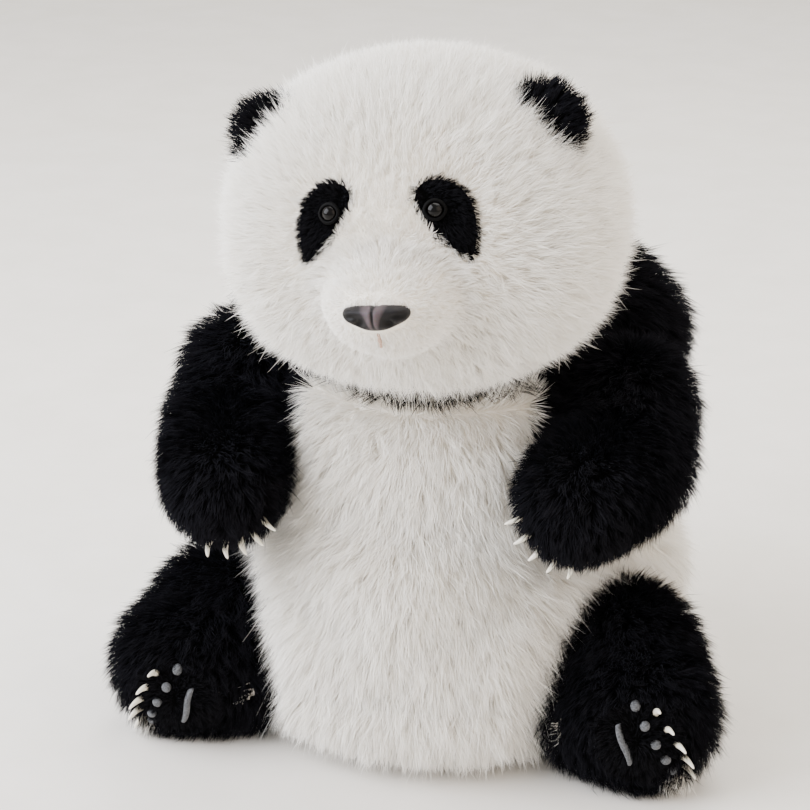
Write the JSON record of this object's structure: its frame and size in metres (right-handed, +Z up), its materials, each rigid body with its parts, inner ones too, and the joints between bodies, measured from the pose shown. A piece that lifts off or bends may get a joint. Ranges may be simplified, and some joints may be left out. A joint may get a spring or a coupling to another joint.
{
  "type": "plush panda",
  "caption": "Sitting realistic plush panda cub with long white and black pile and a head and limbs that turn on hidden joints.",
  "frame": {"origin": "middle of the flat seat, on the floor, in the panda's middle plane", "axes": "+Z up, the body faces -Y, +X is the panda's own left"},
  "size_m": [0.3302, 0.2831, 0.378],
  "materials": {
    "white_plush": "long cream-white plush pile on a knitted backing",
    "black_plush": "long black plush pile with a soft sheen",
    "fibre_fill": "loose polyester fibre",
    "bead_bag_cloth": "woven inner bag filled with plastic beads",
    "hard_plastic": "moulded natural plastic",
    "nose_rubber": "soft moulded dark grey with fine grain",
    "eye_gloss": "polished dark dome",
    "claw_resin": "ivory, satin, darker at the root",
    "pad_suede": "grey suede",
    "stitch_thread": "soft pinkish brown thread"
  },
  "bodies": {
    "torso": {"body_cover": "white_plush", "yoke_cover": "black_plush", "body_stuffing": "fibre_fill", "bead_bag": "bead_bag_cloth", "tail": "white_plush", "neck_washer": "hard_plastic", "shoulder_washer_left": "hard_plastic", "shoulder_washer_right": "hard_plastic", "hip_washer_left": "hard_plastic", "hip_washer_right": "hard_plastic"},
    "head": {"head_cover": "white_plush", "head_stuffing": "fibre_fill", "muzzle": "white_plush", "nose": "nose_rubber", "nose_washer": "hard_plastic", "mouth_stitch": "stitch_thread", "eye_left": "eye_gloss", "eye_right": "eye_gloss", "eyelid_left": "black_plush", "eyelid_right": "black_plush", "eye_washers": "hard_plastic", "eye_patch_left": "black_plush", "eye_patch_right": "black_plush", "ear_left": "black_plush", "ear_right": "black_plush", "neck_disc": "hard_plastic", "neck_lock_ring": "hard_plastic"},
    "arm_left": {"arm_cover_left": "black_plush", "arm_stuffing_left": "fibre_fill", "paw_claws_left": "claw_resin", "shoulder_disc_left": "hard_plastic", "shoulder_ring_left": "hard_plastic"},
    "leg_left": {"leg_cover_left": "black_plush", "leg_stuffing_left": "fibre_fill", "foot_claws_left": "claw_resin", "toe_pads_left": "pad_suede", "sole_pad_left": "pad_suede", "foot_tufts_left": "white_plush", "hip_disc_left": "hard_plastic", "hip_ring_left": "hard_plastic"},
    "arm_right": {"arm_cover_right": "black_plush", "arm_stuffing_right": "fibre_fill", "paw_claws_right": "claw_resin", "shoulder_disc_right": "hard_plastic", "shoulder_ring_right": "hard_plastic"},
    "leg_right": {"leg_cover_right": "black_plush", "leg_stuffing_right": "fibre_fill", "foot_claws_right": "claw_resin", "toe_pads_right": "pad_suede", "sole_pad_right": "pad_suede", "foot_tufts_right": "white_plush", "hip_disc_right": "hard_plastic", "hip_ring_right": "hard_plastic"}
  },
  "joints": [
    {"name": "neck_turn", "type": "hinge", "parent": "torso", "child": "head", "pos_m": [0, -0.028, 0.218], "axis": [0, 0, 1], "range_deg": [-35, 35]},
    {"name": "shoulder_left", "type": "hinge", "parent": "torso", "child": "arm_left", "pos_m": [0.07928, -0.00399, 0.183], "axis": [-0.9272, 0.3746, 0], "range_deg": [-11, 29]},
    {"name": "hip_left", "type": "hinge", "parent": "torso", "child": "leg_left", "pos_m": [0.09716, -0.01972, 0.054], "axis": [-0.866, 0.5, 0], "range_deg": [0, 30]},
    {"name": "shoulder_right", "type": "hinge", "parent": "torso", "child": "arm_right", "pos_m": [-0.07928, -0.00399, 0.183], "axis": [-0.9272, -0.3746, 0], "range_deg": [-4, 36]},
    {"name": "hip_right", "type": "hinge", "parent": "torso", "child": "leg_right", "pos_m": [-0.09716, -0.01972, 0.054], "axis": [-0.866, -0.5, 0], "range_deg": [0, 30]}
  ]
}
